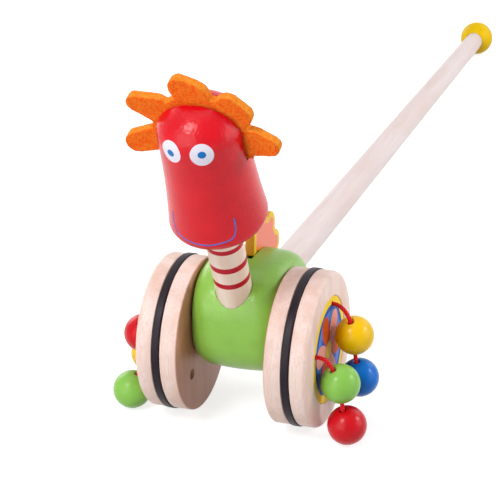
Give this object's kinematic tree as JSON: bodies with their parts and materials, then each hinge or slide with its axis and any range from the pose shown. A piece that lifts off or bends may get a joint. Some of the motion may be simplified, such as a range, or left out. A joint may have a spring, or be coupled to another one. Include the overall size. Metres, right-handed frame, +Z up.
{
  "type": "toddler push toy",
  "caption": "Wooden push-along animal with a long stick, two wheels, cords of clacking beads and a felt mane.",
  "frame": {"origin": "middle of the footprint, on the floor that the two tyres and the handle ball stand on", "axes": "+X along the axle, to the right of the picture; +Y back along the stick; +Z up. The face looks toward -Y."},
  "size_m": [0.1376, 0.6388, 0.2031],
  "materials": {
    "body_paint": "satin paint, grass green",
    "wing_print": "satin print, salmon with yellow",
    "beech": "clear matt lacquer on pale beech",
    "head_paint": "glossy paint, red",
    "felt": "matt felt, orange",
    "stick_wood": "clear matt lacquer on pale beech",
    "yellow_paint": "glossy paint, yellow",
    "blue_paint": "glossy paint, blue",
    "green_paint": "glossy paint, green",
    "red_paint": "glossy paint, red",
    "tyre": "matt black rubber",
    "disc_print": "satin print on thin ply, blue with yellow and orange",
    "cord": "matt braided cord, red"
  },
  "bodies": {
    "carriage": {"body": "body_paint", "wing": "wing_print", "neck": "beech", "head": "head_paint", "felt_mane": "felt", "push_stick": "stick_wood", "handle_ball": "yellow_paint"},
    "wheel_set": {"axle": "beech", "wheel_right": "beech", "wheel_left": "beech", "tyre_right": "tyre", "tyre_left": "tyre", "wheel_disc_right": "disc_print", "wheel_disc_left": "disc_print", "cord_knot_right_rear": "cord", "cord_knot_right_front": "cord", "cord_knot_left_front": "cord", "cord_knot_left_top": "cord"},
    "first_bead_right_rear": {"cord_bend_right_rear": "cord", "bead_first_right_rear": "yellow_paint"},
    "last_bead_right_rear": {"cord_link_right_rear": "cord", "bead_last_right_rear": "blue_paint"},
    "first_bead_right_front": {"cord_bend_right_front": "cord", "bead_first_right_front": "green_paint"},
    "last_bead_right_front": {"cord_link_right_front": "cord", "bead_last_right_front": "red_paint"},
    "first_bead_left_front": {"cord_bend_left_front": "cord", "bead_first_left_front": "green_paint"},
    "last_bead_left_front": {"cord_link_left_front": "cord", "bead_last_left_front": "blue_paint"},
    "first_bead_left_top": {"cord_bend_left_top": "cord", "bead_first_left_top": "red_paint"},
    "last_bead_left_top": {"cord_link_left_top": "cord", "bead_last_left_top": "yellow_paint"}
  },
  "joints": [
    {"name": "wheels_turn", "type": "hinge", "parent": "carriage", "child": "wheel_set", "pos_m": [-0.00049, -0.25286, 0.04041], "axis": [1, 0, 0], "continuous": true},
    {"name": "first_bead_swings_right_rear", "type": "hinge", "parent": "wheel_set", "child": "first_bead_right_rear", "pos_m": [0.04451, -0.24537, 0.06279], "axis": [1, 0, 0], "range_deg": [-5, 45]},
    {"name": "last_bead_swings_right_rear", "type": "hinge", "parent": "first_bead_right_rear", "child": "last_bead_right_rear", "pos_m": [0.0568, -0.24835, 0.03697], "axis": [1, 0, 0], "range_deg": [-25, 35]},
    {"name": "first_bead_swings_right_front", "type": "hinge", "parent": "wheel_set", "child": "first_bead_right_front", "pos_m": [0.04451, -0.27517, 0.0481], "axis": [1, 0, 0], "range_deg": [-45, 10]},
    {"name": "last_bead_swings_right_front", "type": "hinge", "parent": "first_bead_right_front", "child": "last_bead_right_front", "pos_m": [0.05702, -0.27415, 0.02332], "axis": [1, 0, 0], "range_deg": [-35, 35]},
    {"name": "first_bead_swings_left_front", "type": "hinge", "parent": "wheel_set", "child": "first_bead_left_front", "pos_m": [-0.04549, -0.27195, 0.02654], "axis": [1, 0, 0], "range_deg": [-15, 10]},
    {"name": "last_bead_swings_left_front", "type": "hinge", "parent": "first_bead_left_front", "child": "last_bead_left_front", "pos_m": [-0.05858, -0.25999, 0.00433], "axis": [1, 0, 0], "range_deg": [-30, 15]},
    {"name": "first_bead_swings_left_top", "type": "hinge", "parent": "wheel_set", "child": "first_bead_left_top", "pos_m": [-0.04549, -0.26673, 0.05951], "axis": [1, 0, 0], "range_deg": [-5, 45]},
    {"name": "last_bead_swings_left_top", "type": "hinge", "parent": "first_bead_left_top", "child": "last_bead_left_top", "pos_m": [-0.05687, -0.25056, 0.02916], "axis": [1, 0, 0], "range_deg": [-25, 35]}
  ]
}
